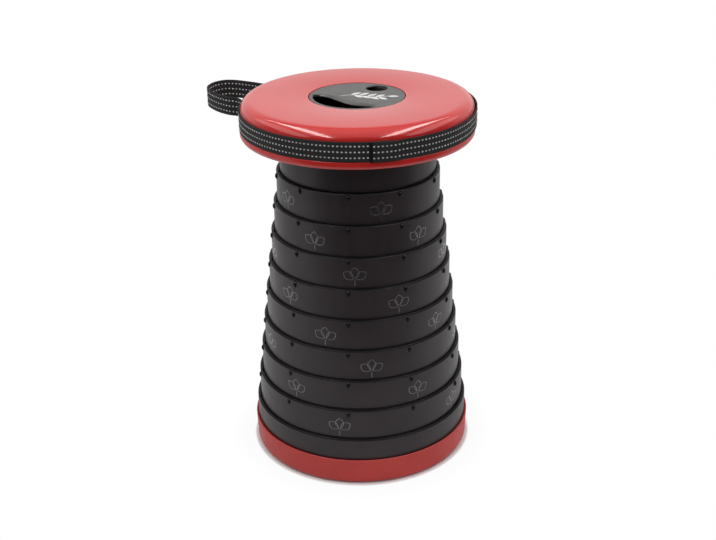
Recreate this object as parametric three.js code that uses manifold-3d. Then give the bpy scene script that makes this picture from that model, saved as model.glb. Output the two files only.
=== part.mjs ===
// Collapsible telescopic stool: nested plastic rings between a round base and a round seat.
// Millimetres, +Z up. The origin is on the stool's axis, on the floor.
import * as THREE from 'three';
import { mergeVertices } from 'three/addons/utils/BufferGeometryUtils.js';
import Module from 'manifold-3d';

const wasm = await Module();
wasm.setup();

// Counts, and the number of the ring that the seat's section slides in
const movingRings = 9;
const firstRing = 1;
const pegCount = 10;
const ledgeCount = 5;
const footPadCount = 6;
const baseScrewCount = 6;
const seatScrewCount = 5;
const ringScrewCount = 5;
const frameRibCount = 10;
const facetsPerPeg = 3;
const ringFacets = pegCount * facetsPerPeg;
const smallFacets = 6;
const padFacets = 10;
const holeFacets = 16;
const shoulderSteps = 3;
const hollowSteps = 2;
const slotSteps = 6;
const loopFirstCorner = 22;
const loopFacets = 4;

// Directions round the axis, in degrees from +X
const pegPhase = -98;
const footPadPhase = -84;
const slotDirection = -123.5;
const thumbDirection = 53.9;
const slackDirection = 32;
const hookTurns = [-95, -35, 35, 95];

// Gaps: between pieces that are fastened together, and between pieces that slide
const fitGap = 0.3;
const stopGap = 0.3;
const lipGap = 0.4;
const bandGap = 0.35;
const pegGap = 0.65;
const notchGap = 0.6;
const notchFloor = 0.3;
const overrun = 1;

// Base: red cover, fixed outer ring and the pads that it stands on
const padProud = 1.5;
const padSink = 0.9;
const padRadius = 9;
const padInset = 12;
const baseFloor = 3;
const coverWallTop = 2.65;
const coverWallFoot = 1.45;
const coverFootRise = 3.5;
const coverFootRound = 2;
const baseRimHeight = 61.2;
const baseRingRadius = 134.2;
const baseFlange = 2.5;
const baseFlangeWidth = 62;
const foldGap = 1.2;
const landingGap = 1;

// Telescopic rings
const ringWall = 1.8;
const ringSpace = 2.65;
const lipHeight = 4;
const bandHeight = 10.55;
const pegWidth = 4.2;
const pegHeight = 6.2;
const pegDrop = 3.3;
const pegTipShare = 0.7;
const ledgeWidth = 9;
const ledgeHeight = 4;

// Seat: red cover, black frame below it and the grey panel in its middle
const seatRise = 48.15;
const seatSkin = 2.7;
const skirtGap = 1.1;
const skirtWall = 2.7;
const shoulderWidth = 14;
const shoulderHeight = 11.9;
const seatLipHeight = 8.2;
const seatLipProud = 1.4;
const seatLipRound = 2.4;
const panelRadius = 57.1;
const panelGap = 0.35;
const panelRecess = 0.3;
const thumbRadius = 13.2;
const thumbInset = 16.7;
const slotInset = 6.1;
const slotDepth = 20.5;
const slotHalfAngle = 64;
const scoopWidth = 10.5;
const scoopDepth = 1.9;
const hookWidth = 9;
const hookThickness = 1.6;
const hookCatch = 1.2;
const frameCollar = 4.6;
const framePlate = 2.5;
const frameStandoff = 4;
const frameWall = 2.5;
const frameRibWidth = 2.4;
const frameRibHeight = 10.4;
const topFlangeWidth = 14;
const topFlange = 2.2;

// Webbing strap
const strapWidth = 24;
const strapThickness = 1.3;
const strapSlack = 5;
const slackHalfAngle = 54;
const loopReach = 71;
const loopSteps = 38;

// Screws and the bosses that they bite in
const headRadius = 3.4;
const headHeight = 1.4;
const shankRadius = 1.5;
const shankLength = 7;
const screwClearance = 0.4;
const bossWall = 2.6;
const tipGap = 1;
const baseScrewInset = 8.5;
const ringScrewInset = 8;
const seatScrewInset = 20;

// Shares along the loop of the strap: how far round the loop's span, how far out of its reach
const loopShares = [
  [0, 0],
  [0.088, 0.04],
  [0.156, 0.148],
  [0.169, 0.33],
  [0.223, 0.571],
  [0.302, 0.802],
  [0.371, 0.953],
  [0.446, 1],
  [0.506, 0.993],
  [0.571, 0.927],
  [0.615, 0.775],
  [0.64, 0.587],
  [0.665, 0.392],
  [0.683, 0.22],
  [0.725, 0.076],
  [0.785, 0.02],
  [0.896, 0.003],
  [1, 0],
];

// Heights and radii that follow
const floorStack = padProud + baseFloor + fitGap + baseFlange + foldGap;
const ringLength = baseRimHeight - floorStack;
const rimPitch = ringLength - bandHeight - lipHeight - stopGap;
const ringPitch = ringWall + ringSpace;
const rimHeight = (ring) => baseRimHeight + rimPitch * (movingRings + 1 - ring);
const ringRadius = (ring) => baseRingRadius - ringPitch * (movingRings + 1 - ring);
const seatTop = rimHeight(firstRing) + seatRise;
const seatUnderside = seatTop - seatSkin;
const seatDepth = shoulderHeight + strapWidth + fitGap + seatLipHeight;
const skirtInside = baseRingRadius + skirtGap;
const seatRadius = skirtInside + skirtWall;
const plateTop = seatUnderside - fitGap - frameStandoff;
const plateBottom = plateTop - framePlate;
const frameRadius = seatRadius - shoulderWidth;
const frameHoleRadius = panelRadius - frameCollar;
const slotRadius = panelRadius - slotInset;
const thumbReach = panelRadius - thumbInset;
const ribBottom = plateBottom - frameRibHeight;
const seatTravel = ribBottom - stopGap - rimHeight(firstRing);
const baseCoverHeight = seatTop - seatDepth - seatTravel - rimPitch * movingRings - landingGap;
const facetTurn = 360 / ringFacets;
const facetShare = Math.cos(Math.PI / ringFacets);

const radians = THREE.MathUtils.degToRad;

const materials = {
  red: new THREE.MeshStandardMaterial({ color: 0xc32a2e, roughness: 0.22, metalness: 0 }),
  redSatin: new THREE.MeshStandardMaterial({ color: 0xad3033, roughness: 0.5, metalness: 0 }),
  black: new THREE.MeshStandardMaterial({ color: 0x2c2a2c, roughness: 0.45, metalness: 0 }),
  grey: new THREE.MeshStandardMaterial({ color: 0x5a5c5c, roughness: 0.5, metalness: 0 }),
  webbing: new THREE.MeshStandardMaterial({ color: 0x1d1d20, roughness: 0.9, metalness: 0 }),
  rubber: new THREE.MeshStandardMaterial({ color: 0x161616, roughness: 0.85, metalness: 0 }),
  steel: new THREE.MeshStandardMaterial({ color: 0x9a9c9e, roughness: 0.35, metalness: 1 }),
};

// Solids from geometry, and back
function toSolid(geometry) {
  const bare = geometry.clone();
  bare.deleteAttribute('normal');
  bare.deleteAttribute('uv');
  const merged = mergeVertices(bare);
  const corners = merged.index.array;
  const kept = [];
  for (let i = 0; i < corners.length; i += 3) {
    const [a, b, c] = corners.slice(i, i + 3);
    if (a !== b && b !== c && c !== a) kept.push(a, b, c);
  }
  const vertProperties = Float32Array.from(merged.attributes.position.array);
  const triVerts = Uint32Array.from(kept);
  return new wasm.Manifold(new wasm.Mesh({ numProp: 3, vertProperties, triVerts }));
}

function toGeometry(solid) {
  const mesh = solid.getMesh();
  const geometry = new THREE.BufferGeometry();
  geometry.setAttribute('position', new THREE.BufferAttribute(mesh.vertProperties, 3));
  geometry.setIndex(new THREE.BufferAttribute(mesh.triVerts, 1));
  const faceted = geometry.toNonIndexed();
  faceted.computeVertexNormals();
  return faceted;
}

function joined(body, additions) {
  return additions.reduce((solid, piece) => solid.add(piece), body);
}

function cut(body, cutters) {
  return cutters.reduce((solid, cutter) => solid.subtract(cutter), body);
}

// A closed profile of radius and height pairs, turned round the axis
function revolved(profile, facets = ringFacets, phase = pegPhase + facetTurn / 2) {
  const points = profile.map(([radius, height]) => new THREE.Vector2(radius, height));
  points.push(points[0].clone());
  const geometry = new THREE.LatheGeometry(points, facets, radians(phase + 90), Math.PI * 2);
  geometry.rotateX(Math.PI / 2);
  return toSolid(geometry);
}

// A solid between two outlines of as many points, the first one lower
function lofted(lower, lowerHeight, upper, upperHeight) {
  const count = lower.length;
  const corners = [
    ...lower.map(([x, y]) => [x, y, lowerHeight]),
    ...upper.map(([x, y]) => [x, y, upperHeight]),
  ];
  const outline = lower.map(([x, y]) => new THREE.Vector2(x, y));
  const faces = [];
  for (const [a, b, c] of THREE.ShapeUtils.triangulateShape(outline, [])) {
    faces.push(c, b, a);
    faces.push(a + count, b + count, c + count);
  }
  for (let i = 0; i < count; i += 1) {
    const next = (i + 1) % count;
    faces.push(i, next, next + count);
    faces.push(i, next + count, i + count);
  }
  const geometry = new THREE.BufferGeometry();
  geometry.setAttribute('position', new THREE.Float32BufferAttribute(corners.flat(), 3));
  geometry.setIndex(faces);
  return geometry;
}

// A closed band of flat webbing standing on its edge along a closed route
function banded(route, thickness, bottom, top) {
  const count = route.length;
  const corners = [];
  route.forEach(([x, y], i) => {
    const [beforeX, beforeY] = route[(i + count - 1) % count];
    const [afterX, afterY] = route[(i + 1) % count];
    const length = Math.hypot(afterX - beforeX, afterY - beforeY);
    const across = [(beforeY - afterY) / length, (afterX - beforeX) / length];
    for (const [side, height] of [[1, bottom], [1, top], [-1, top], [-1, bottom]]) {
      const distance = (side * thickness) / 2;
      corners.push(x + across[0] * distance, y + across[1] * distance, height);
    }
  });
  const faces = [];
  for (let i = 0; i < count; i += 1) {
    const next = (i + 1) % count;
    for (let corner = 0; corner < 4; corner += 1) {
      const a = 4 * i + corner;
      const b = 4 * i + ((corner + 1) % 4);
      const c = 4 * next + ((corner + 1) % 4);
      const d = 4 * next + corner;
      faces.push(a, b, c, a, c, d);
    }
  }
  const geometry = new THREE.BufferGeometry();
  geometry.setAttribute('position', new THREE.Float32BufferAttribute(corners, 3));
  geometry.setIndex(faces);
  return toSolid(geometry);
}

function rectangle(width, height, middle = 0) {
  return [
    [-width / 2, middle - height / 2],
    [width / 2, middle - height / 2],
    [width / 2, middle + height / 2],
    [-width / 2, middle + height / 2],
  ];
}

function disc(radius, facets, centre = [0, 0]) {
  return Array.from({ length: facets }, (_, i) => {
    const turn = (Math.PI * 2 * i) / facets;
    return [centre[0] + radius * Math.cos(turn), centre[1] + radius * Math.sin(turn)];
  });
}

// Turns a solid drawn as width, height and depth so that its depth points out at an angle
function facingOut(geometry, angle) {
  const turn = radians(angle);
  const sideways = new THREE.Vector3(-Math.sin(turn), Math.cos(turn), 0);
  const up = new THREE.Vector3(0, 0, 1);
  const outward = new THREE.Vector3(Math.cos(turn), Math.sin(turn), 0);
  geometry.applyMatrix4(new THREE.Matrix4().makeBasis(sideways, up, outward));
  return toSolid(geometry);
}

function block(width, bottom, top, inside, outside, angle) {
  const outline = rectangle(width, top - bottom, (top + bottom) / 2);
  return facingOut(lofted(outline, inside, outline, outside), angle);
}

function post(radius, bottom, top, centre, facets = smallFacets) {
  const outline = disc(radius, facets, centre);
  return toSolid(lofted(outline, bottom, outline, top));
}

function polar(radius, angle) {
  return [radius * Math.cos(radians(angle)), radius * Math.sin(radians(angle))];
}

function evenAngles(count, phase) {
  return Array.from({ length: count }, (_, i) => phase + (360 * i) / count);
}

const pegAngles = evenAngles(pegCount, pegPhase);
const ledgeAngles = evenAngles(ledgeCount, pegPhase + facetTurn);

// Pegs stand on the flat of a facet, so that one ring's pegs fit the next ring's notches
function pegs(radius) {
  const wallFace = radius * facetShare;
  const middle = -pegDrop - pegHeight / 2;
  const root = rectangle(pegWidth, pegHeight, middle);
  const tip = rectangle(pegWidth * pegTipShare, pegHeight * pegTipShare, middle);
  const outside = wallFace + ringSpace * facetShare - pegGap;
  return pegAngles.map((angle) =>
    facingOut(lofted(root, wallFace - ringWall / 2, tip, outside), angle));
}

function lipNotches(radius) {
  const inside = (radius - ringWall - ringSpace) * facetShare - overrun;
  const outside = (radius - ringWall) * facetShare - notchFloor;
  return pegAngles.map((angle) =>
    block(pegWidth + 2 * notchGap, -lipHeight - overrun, overrun, inside, outside, angle));
}

// Ledges inside one ring carry the band of the next once it is pulled out and twisted
function ledges(radius) {
  const top = -lipHeight - bandHeight - 2 * stopGap;
  const inside = (radius - ringWall - ringSpace) * facetShare + notchFloor + lipGap;
  const outside = (radius - ringWall / 2) * facetShare;
  return ledgeAngles.map((angle) =>
    block(ledgeWidth, top - ledgeHeight, top, inside, outside, angle));
}

function bandNotches(radius) {
  const inside = radius * facetShare + notchFloor;
  const outside = radius + ringSpace + overrun;
  const bottom = -ringLength - overrun;
  const top = bandHeight - ringLength + overrun;
  return ledgeAngles.map((angle) =>
    block(ledgeWidth + 2 * notchGap, bottom, top, inside, outside, angle));
}

// One moving ring, drawn with its rim at height zero
function movingRing(radius) {
  const inside = radius - ringWall;
  const bandRadius = radius + ringSpace - bandGap;
  const lipRadius = inside - ringSpace + lipGap;
  const shell = revolved([
    [inside, -ringLength],
    [bandRadius, -ringLength],
    [bandRadius, bandHeight - ringLength],
    [radius, bandHeight - ringLength],
    [radius, 0],
    [lipRadius, 0],
    [lipRadius, -lipHeight],
    [inside, -lipHeight],
  ]);
  const cutters = [...bandNotches(radius), ...lipNotches(radius)];
  return joined(cut(shell, cutters), [...pegs(radius), ...ledges(radius)]);
}

const screwHeight = headHeight + shankLength;
const bossRadius = shankRadius + bossWall;
const holeRadius = shankRadius + screwClearance;

// A pan head screw with its head's outer face at height zero and its tip up
function screw() {
  return revolved([
    [0, 0],
    [headRadius, 0],
    [headRadius, headHeight],
    [shankRadius, headHeight],
    [shankRadius, screwHeight],
    [0, screwHeight],
  ], smallFacets, 0);
}

// Base
const baseCoverBottom = padProud;
const baseCoverFloor = padProud + baseFloor;
const padTop = padProud + padSink;
const padCentres = [
  [0, 0],
  ...evenAngles(footPadCount, footPadPhase).map((angle) => polar(baseRingRadius - padInset, angle)),
];
const baseRingBottom = baseCoverFloor + fitGap;
const baseFlangeTop = baseRingBottom + baseFlange;
const baseFlangeRadius = baseRingRadius - baseFlangeWidth;
const baseScrewAngles = evenAngles(baseScrewCount, footPadPhase + 180 / baseScrewCount);
const baseScrewRadius = baseFlangeRadius + baseScrewInset;
const headSink = headHeight + fitGap;
const baseScrewTip = baseCoverBottom + screwHeight;

function baseCover() {
  const inside = baseRingRadius + fitGap;
  const shell = revolved([
    [0, baseCoverBottom],
    [inside + coverWallFoot - coverFootRound, baseCoverBottom],
    [inside + coverWallFoot, baseCoverBottom + coverFootRise],
    [inside + coverWallTop, baseCoverHeight],
    [inside, baseCoverHeight],
    [inside, baseCoverFloor],
    [0, baseCoverFloor],
  ]);
  const pockets = padCentres.map((centre) =>
    post(padRadius + fitGap, baseCoverBottom - overrun, padTop + fitGap, centre, padFacets));
  const bores = baseScrewAngles.flatMap((angle) => {
    const centre = polar(baseScrewRadius, angle);
    return [
      post(headRadius + screwClearance, baseCoverBottom - overrun, baseCoverBottom + headSink, centre),
      post(holeRadius, baseCoverBottom, baseCoverFloor + overrun, centre),
    ];
  });
  return cut(shell, [...pockets, ...bores]);
}

function baseRing() {
  const inside = baseRingRadius - ringWall;
  const lipRadius = inside - ringSpace + lipGap;
  const shell = revolved([
    [baseFlangeRadius, baseRingBottom],
    [baseRingRadius, baseRingBottom],
    [baseRingRadius, baseRimHeight],
    [lipRadius, baseRimHeight],
    [lipRadius, baseRimHeight - lipHeight],
    [inside, baseRimHeight - lipHeight],
    [inside, baseFlangeTop],
    [baseFlangeRadius, baseFlangeTop],
  ]);
  const lift = (solid) => solid.translate([0, 0, baseRimHeight]);
  const centres = baseScrewAngles.map((angle) => polar(baseScrewRadius, angle));
  const bosses = centres.map((centre) =>
    post(bossRadius, baseFlangeTop - baseFlange / 2, baseScrewTip + tipGap + bossWall, centre));
  const bores = centres.map((centre) =>
    post(holeRadius, baseRingBottom - overrun, baseScrewTip + tipGap, centre));
  const open = cut(shell, lipNotches(baseRingRadius).map(lift));
  return cut(joined(open, [...bosses, ...ledges(baseRingRadius).map(lift)]), bores);
}

function footPad(centre) {
  return post(padRadius, 0, padTop, centre, padFacets);
}

// Seat
function arc(centre, across, along, start, end, steps) {
  return Array.from({ length: steps + 1 }, (_, i) => {
    const turn = radians(start + ((end - start) * i) / steps);
    return [centre[0] + across * Math.cos(turn), centre[1] + along * Math.sin(turn)];
  });
}

const topRingRadius = ringRadius(0);
const topFlangeRadius = topRingRadius - topFlangeWidth;
const ringScrewAngles = evenAngles(ringScrewCount, pegPhase);
const ringScrewRadius = topFlangeRadius + ringScrewInset;
const seatScrewAngles = evenAngles(seatScrewCount, pegPhase + (facetTurn * facetsPerPeg) / 2);
const seatScrewRadius = frameRadius - seatScrewInset;
const collarTop = seatUnderside - fitGap;
const topFlangeTop = plateBottom - fitGap;
const topFlangeBottom = topFlangeTop - topFlange;
const ringScrewHead = topFlangeBottom - headHeight - fitGap;
const seatScrewHead = plateBottom - headHeight - fitGap;

function seatCover() {
  const edge = seatTop - shoulderHeight;
  const strapRest = edge - strapWidth - fitGap;
  const bottom = seatTop - seatDepth;
  const lipRadius = seatRadius + seatLipProud;
  const shoulderInside = seatRadius - shoulderWidth;
  const middle = [shoulderInside, edge];
  const shoulder = arc(middle, shoulderWidth, shoulderHeight, 0, 90, shoulderSteps);
  const hollow = arc(middle, shoulderWidth - skirtWall, shoulderHeight - seatSkin, 90, 0, hollowSteps);
  const hole = panelRadius + panelGap;
  const shell = revolved([
    [hole, seatUnderside],
    ...hollow,
    [skirtInside, bottom],
    [skirtInside + skirtWall / 2, bottom],
    [lipRadius - seatLipRound / 2, bottom + seatLipRound],
    [lipRadius, strapRest - seatLipRound],
    [lipRadius, strapRest],
    [seatRadius, strapRest],
    ...shoulder,
    [hole, seatTop],
  ]);
  const centres = seatScrewAngles.map((angle) => polar(seatScrewRadius, angle));
  const bosses = centres.map((centre) =>
    post(bossRadius, plateTop + fitGap, seatUnderside + seatSkin / 2, centre));
  const bores = centres.map((centre) =>
    post(holeRadius, plateTop, seatScrewHead + screwHeight + tipGap, centre));
  return cut(joined(shell, bosses), bores);
}

function seatFrame() {
  const shell = revolved([
    [frameHoleRadius, plateBottom],
    [frameRadius, plateBottom],
    [frameRadius, collarTop],
    [frameRadius - frameWall, collarTop],
    [frameRadius - frameWall, plateTop],
    [panelRadius, plateTop],
    [panelRadius, collarTop],
    [frameHoleRadius, collarTop],
  ]);
  const ribInside = topRingRadius + ringSpace;
  const ribOutside = frameRadius - frameWall;
  const ribTop = plateBottom + framePlate / 2;
  const ribs = evenAngles(frameRibCount, pegPhase + facetTurn).map((angle) =>
    block(frameRibWidth, ribBottom, ribTop, ribInside, ribOutside, angle));
  const ringCentres = ringScrewAngles.map((angle) => polar(ringScrewRadius, angle));
  const bosses = ringCentres.map((centre) =>
    post(bossRadius, plateTop - framePlate / 2, collarTop, centre));
  const ringBores = ringCentres.map((centre) =>
    post(holeRadius, plateBottom - overrun, ringScrewHead + screwHeight + tipGap, centre));
  const seatBores = seatScrewAngles.map((angle) =>
    post(holeRadius, plateBottom - overrun, plateTop + overrun, polar(seatScrewRadius, angle)));
  return cut(joined(shell, [...ribs, ...bosses]), [...ringBores, ...seatBores]);
}

// The section that hangs under the seat and slides in the uppermost ring
function topRing() {
  const inside = topRingRadius - ringWall;
  const rim = rimHeight(0);
  const bottom = rim - ringLength;
  const bandRadius = topRingRadius + ringSpace - bandGap;
  const shell = revolved([
    [inside, bottom],
    [bandRadius, bottom],
    [bandRadius, bottom + bandHeight],
    [topRingRadius, bottom + bandHeight],
    [topRingRadius, topFlangeTop],
    [topFlangeRadius, topFlangeTop],
    [topFlangeRadius, topFlangeBottom],
    [inside, topFlangeBottom],
  ]);
  const notches = bandNotches(topRingRadius).map((notch) => notch.translate([0, 0, rim]));
  const bores = ringScrewAngles.map((angle) => {
    const centre = polar(ringScrewRadius, angle);
    return post(holeRadius, topFlangeBottom - overrun, topFlangeTop + overrun, centre);
  });
  return cut(shell, [...notches, ...bores]);
}

// A crescent under the panel's edge: an arc outside, and a flatter arc inside that can be set back
function crescent(setBack) {
  const end = slotRadius * Math.cos(radians(slotHalfAngle));
  const halfChord = slotRadius * Math.sin(radians(slotHalfAngle));
  const sagitta = slotRadius - slotDepth - end;
  const points = arc([0, 0], slotRadius, slotRadius, -slotHalfAngle, slotHalfAngle, slotSteps);
  for (let i = slotSteps - 1; i > 0; i -= 1) {
    const share = (2 * i) / slotSteps - 1;
    points.push([end + sagitta * (1 - share * share) - setBack * (1 - share * share), halfChord * share]);
  }
  const turn = radians(slotDirection);
  return points.map(([x, y]) => [
    x * Math.cos(turn) - y * Math.sin(turn),
    x * Math.sin(turn) + y * Math.cos(turn),
  ]);
}

function centrePanel() {
  const top = seatTop - panelRecess;
  const outline = disc(panelRadius, ringFacets);
  const plate = toSolid(lofted(outline, seatUnderside, outline, top));
  const slot = toSolid(lofted(crescent(0), seatUnderside - overrun, crescent(0), top + overrun));
  const scoop = toSolid(lofted(crescent(0), top - scoopDepth, crescent(scoopWidth), top));
  const thumb = post(thumbRadius, seatUnderside - overrun, top + overrun,
    polar(thumbReach, thumbDirection), holeFacets);
  const stemOutside = frameHoleRadius * facetShare - fitGap;
  const stemInside = stemOutside - hookThickness;
  const catchTop = plateBottom - fitGap;
  const catchBottom = catchTop - hookThickness;
  const hooks = hookTurns.map((turn) => thumbDirection + turn).flatMap((angle) => [
    block(hookWidth, catchBottom, seatUnderside + overrun, stemInside, stemOutside, angle),
    block(hookWidth, catchBottom, catchTop, stemInside, stemOutside + hookCatch, angle),
  ]);
  return cut(joined(plate, hooks), [slot, scoop, thumb]);
}

// The strap lies round the seat, a little slack at the right, and stands out as a loop at the back left
function strap() {
  const beltRadius = seatRadius + fitGap + strapThickness / 2;
  const beltAt = (angle) => {
    const turn = THREE.MathUtils.euclideanModulo(angle - slackDirection + 180, 360) - 180;
    const share = Math.min(Math.abs(turn) / slackHalfAngle, 1);
    return polar(beltRadius + strapSlack * Math.cos((Math.PI / 2) * share) ** 2, angle);
  };
  const corner = (i) => pegPhase + facetTurn * (i + 1 / 2);
  const loopStart = corner(loopFirstCorner);
  const loopSpan = facetTurn * loopFacets;
  const loop = new THREE.CatmullRomCurve3(loopShares.map(([round, out]) => {
    const [x, y] = polar(beltRadius + loopReach * out, loopStart - loopSpan * round);
    return new THREE.Vector3(x, y, 0);
  }), false, 'catmullrom');
  const route = loop.getSpacedPoints(loopSteps).map(({ x, y }) => [x, y]);
  for (let i = loopFirstCorner - loopFacets - 1; i > loopFirstCorner - ringFacets; i -= 1) {
    route.push(beltAt(corner(i)));
  }
  return banded(route, strapThickness, seatTop - shoulderHeight - strapWidth, seatTop - shoulderHeight);
}

// The assembly
function piece(name, solid, material, height = 0) {
  const mesh = new THREE.Mesh(toGeometry(solid), material);
  mesh.name = name;
  mesh.position.z = height;
  return mesh;
}

function placedScrew(name, angle, radius, height) {
  const [x, y] = polar(radius, angle);
  const mesh = piece(name, screw(), materials.steel, height);
  mesh.position.x = x;
  mesh.position.y = y;
  return mesh;
}

const base = new THREE.Group();
base.add(piece('base_cover', baseCover(), materials.redSatin));
base.add(piece('base_ring', baseRing(), materials.black));
padCentres.forEach((centre, i) => {
  const name = i === 0 ? 'foot_pad_centre' : `foot_pad_${i}`;
  base.add(piece(name, footPad(centre), materials.rubber));
});
baseScrewAngles.forEach((angle, i) => {
  base.add(placedScrew(`base_screw_${i + 1}`, angle, baseScrewRadius, baseCoverBottom));
});

const rings = new THREE.Group();
for (let ring = movingRings; ring >= firstRing; ring -= 1) {
  rings.add(piece(`ring_${ring}`, movingRing(ringRadius(ring)), materials.black, rimHeight(ring)));
}

const seat = new THREE.Group();
seat.add(piece('top_ring', topRing(), materials.black));
seat.add(piece('seat_frame', seatFrame(), materials.black));
seat.add(piece('seat_cover', seatCover(), materials.red));
seat.add(piece('centre_panel', centrePanel(), materials.grey));
seat.add(piece('strap', strap(), materials.webbing));
ringScrewAngles.forEach((angle, i) => {
  seat.add(placedScrew(`ring_screw_${i + 1}`, angle, ringScrewRadius, ringScrewHead));
});
seatScrewAngles.forEach((angle, i) => {
  seat.add(placedScrew(`seat_screw_${i + 1}`, angle, seatScrewRadius, seatScrewHead));
});

const stool = new THREE.Group();
stool.add(base, rings, seat);

export default stool;
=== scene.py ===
from math import atan2, cos, degrees, exp, hypot, pi, radians, sin, sqrt, tan

import bmesh
import bpy
from mathutils import Matrix, Vector


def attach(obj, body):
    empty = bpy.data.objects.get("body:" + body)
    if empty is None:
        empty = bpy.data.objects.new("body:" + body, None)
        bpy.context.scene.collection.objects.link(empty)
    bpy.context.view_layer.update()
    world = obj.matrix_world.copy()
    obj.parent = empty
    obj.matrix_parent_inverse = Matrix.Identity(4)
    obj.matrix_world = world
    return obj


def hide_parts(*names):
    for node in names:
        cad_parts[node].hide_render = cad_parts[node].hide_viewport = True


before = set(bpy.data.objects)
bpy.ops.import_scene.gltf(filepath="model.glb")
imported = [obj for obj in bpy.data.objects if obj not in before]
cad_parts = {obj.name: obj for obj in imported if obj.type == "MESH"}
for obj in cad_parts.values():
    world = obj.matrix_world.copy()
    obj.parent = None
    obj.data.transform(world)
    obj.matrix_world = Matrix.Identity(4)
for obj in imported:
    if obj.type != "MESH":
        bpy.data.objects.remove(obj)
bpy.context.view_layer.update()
mm = 0.001
print("frame loaded")

# Camera
view = dict(lens=60.18, sensor=36.0, pixels=(716, 540), place=(-1.9, -1365.8, 836.0), pitch=24.08, roll=-0.88)


def newObject(name, data):
    made = bpy.data.objects.new(name, data)
    bpy.context.collection.objects.link(made)
    return made


def turnAbout(axis, angle):
    return Matrix.Rotation(radians(angle), 4, axis)


def viewTurn():
    return turnAbout("X", 90 - view["pitch"]) @ turnAbout("Z", view["roll"])


def makeCamera():
    lens = bpy.data.cameras.new("photoCamera")
    lens.lens, lens.sensor_width = view["lens"], view["sensor"]
    camera = newObject("photoCamera", lens)
    camera.matrix_world = Matrix.Translation(Vector(view["place"]) * mm) @ viewTurn()
    bpy.context.scene.camera = camera


makeCamera()
print("camera placed")

# Shapes
facets = dict(
    ring=180, base=192, seat=216, pad=48, thumb=64, boss=32, bore=24, screw=20, peg=20, stitch=8,
    floor=96,
)
past = 1.0  # how far a cutter or an added block runs past the face that it meets
hair = 0.01  # the same where a step has to be too small to see


# Points of an elliptical arc
def arcPoints(middle, across, along, start, end, steps):
    points = []
    for k in range(steps + 1):
        angle = radians(start + (end - start) * k / steps)
        points.append((middle[0] + across * cos(angle), middle[1] + along * sin(angle)))
    return points


# Rounds the corners of a closed outline of (x, y, radius) and gives plain points
def rounded(corners, steps=4, limit=0.45):
    points = []
    for i, (x, y, radius) in enumerate(corners):
        if not radius:
            points.append((x, y))
            continue
        here = Vector((x, y))
        before = Vector(corners[i - 1][:2]) - here
        after = Vector(corners[(i + 1) % len(corners)][:2]) - here
        half = before.angle(after) / 2
        reach = min(radius / tan(half), limit * before.length, limit * after.length)
        radius = reach * tan(half)
        before.normalize()
        after.normalize()
        middle = here + (before + after).normalized() * radius / sin(half)
        first, last = here + before * reach - middle, here + after * reach - middle
        start = degrees(atan2(first.y, first.x))
        turn = (degrees(atan2(last.y, last.x)) - start + 180) % 360 - 180
        points += arcPoints(middle, radius, radius, start, start + turn, steps)
    return points


def onCircle(radius, angle):
    return (radius * cos(radians(angle)), radius * sin(radians(angle)))


def evenAngles(count, phase):
    return [phase + 360 * k / count for k in range(count)]


def evenCentres(radius, count, phase):
    return [onCircle(radius, angle) for angle in evenAngles(count, phase)]


# A smooth line through knots: each point with how far along the knots it is
def lineThrough(knots, steps):
    ends = [2 * knots[0] - knots[1]] + knots + [2 * knots[-1] - knots[-2]]
    line = []
    for i in range(1, len(ends) - 2):
        before, here, there, after = ends[i - 1:i + 3]
        leave, arrive = (there - before) / 2, (after - here) / 2
        for k in range(steps):
            t = k / steps
            point = here * (2 * t ** 3 - 3 * t ** 2 + 1) + leave * (t ** 3 - 2 * t ** 2 + t)
            point += there * (3 * t ** 2 - 2 * t ** 3) + arrive * (t ** 3 - t ** 2)
            line.append((point, (i - 1 + t) / (len(knots) - 1)))
    line.append((knots[-1], 1.0))
    return line


def fromMesh(name, build):
    bmesh.ops.recalc_face_normals(build, faces=build.faces)
    mesh = bpy.data.meshes.new(name)
    build.to_mesh(mesh)
    build.free()
    return newObject(name, mesh)


# Walls between loops of as many points
def addWalls(build, loops):
    for low, high in zip(loops, loops[1:]):
        for k in range(len(low)):
            n = (k + 1) % len(low)
            build.faces.new((low[k], low[n], high[n], high[k]))


# The same with both ends closed
def addSkin(build, loops):
    build.faces.new(loops[0][::-1])
    build.faces.new(loops[-1])
    addWalls(build, loops)


# Adds a closed profile of (radius, height) turned about an upright axis
def turnInto(build, profile, around, centre):
    columns = []
    for radius, height in profile:
        places = [onCircle(radius, 360 * k / around) for k in range(around if radius else 1)]
        columns.append([
            build.verts.new(((centre[0] + x) * mm, (centre[1] + y) * mm, height * mm)) for x, y in places
        ])
    for i, here in enumerate(columns):
        there = columns[(i + 1) % len(columns)]
        if len(here) == 1 and len(there) == 1:
            continue
        for k in range(around):
            n = (k + 1) % around
            quad = (here[k % len(here)], here[n % len(here)], there[n % len(there)], there[k % len(there)])
            build.faces.new(list(dict.fromkeys(quad)))  # a triangle where one end is on the axis


# The same turned profile at each centre, as one object
def posts(name, profile, centres, around):
    build = bmesh.new()
    for centre in centres:
        turnInto(build, profile, around, centre)
    return fromMesh(name, build)


def turned(name, profile, around):
    return posts(name, profile, [(0, 0)], around)


def cylinders(name, radius, bottom, top, centres, around=facets["bore"]):
    return posts(name, [(0, bottom), (radius, bottom), (radius, top), (0, top)], centres, around)


# Blocks that point outward from the axis, one at each angle
def blocks(name, angles, inside, outside, width, bottom, top, soften=0):
    build = bmesh.new()
    square = ((-width / 2, bottom), (width / 2, bottom), (width / 2, top), (-width / 2, top))
    for angle in angles:
        turn = turnAbout("Z", angle)
        addSkin(build, [
            [build.verts.new(turn @ Vector((reach, y, z)) * mm) for y, z in square]
            for reach in (inside, outside)
        ])
    if soften:
        edges = list(build.edges)
        bmesh.ops.bevel(build, geom=edges, offset=soften * mm, segments=3, profile=0.5, affect="EDGES")
    return fromMesh(name, build)


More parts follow.
